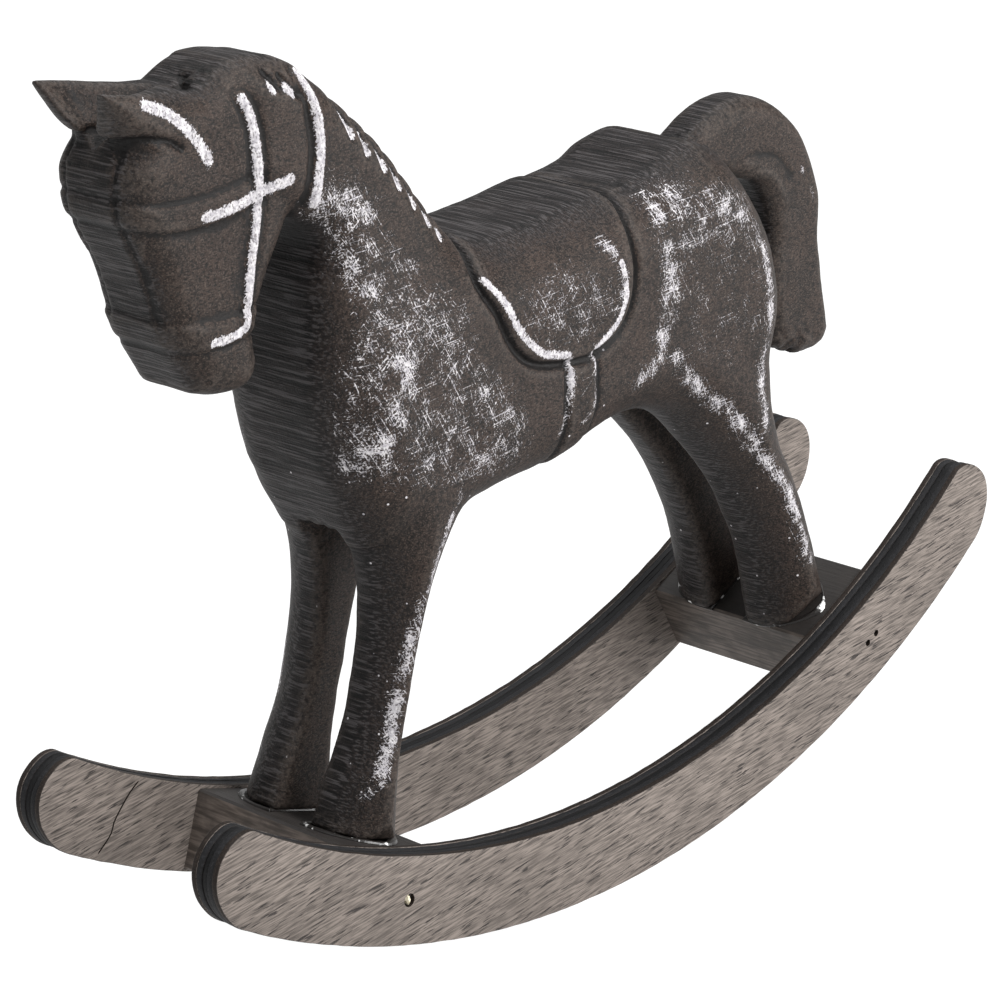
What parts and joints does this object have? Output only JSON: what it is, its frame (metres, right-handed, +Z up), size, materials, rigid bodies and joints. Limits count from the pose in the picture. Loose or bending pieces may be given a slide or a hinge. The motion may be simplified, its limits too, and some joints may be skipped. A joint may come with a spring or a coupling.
{
  "type": "rocking horse",
  "caption": "Small carved wooden rocking-horse ornament with saddle and bridle in relief, standing on cross blocks between curved plywood rockers.",
  "frame": {"origin": "bottom centre of the bounding box, on the floor under the toy at rest", "axes": "+Z up, the horse faces -Y, its left side is +X"},
  "size_m": [0.048, 0.1918, 0.1516],
  "materials": {
    "horse_stain": "dark brown-black stain, dry-brushed white paint, satin",
    "rocker_face": "weathered grey-brown plywood face, matt",
    "rocker_core": "dark stained ply edge, matt",
    "block_wood": "dark stained softwood, matt",
    "glue": "dried white wood glue",
    "steel": "plain wire nail",
    "filler": "cream wood filler"
  },
  "bodies": {
    "root": {"horse": "horse_stain", "left_rocker_inner_face_ply": "rocker_face", "left_rocker_inner_cross_ply": "rocker_core", "left_rocker_core_ply": "rocker_core", "left_rocker_outer_cross_ply": "rocker_core", "left_rocker_outer_face_ply": "rocker_face", "right_rocker_inner_face_ply": "rocker_face", "right_rocker_inner_cross_ply": "rocker_core", "right_rocker_core_ply": "rocker_core", "right_rocker_outer_cross_ply": "rocker_core", "right_rocker_outer_face_ply": "rocker_face", "front_cross_block": "block_wood", "rear_cross_block": "block_wood", "foot_glue": "glue", "foot_nails": "steel", "rocker_brads": "steel", "brad_hole_filler": "filler"}
  },
  "joints": []
}
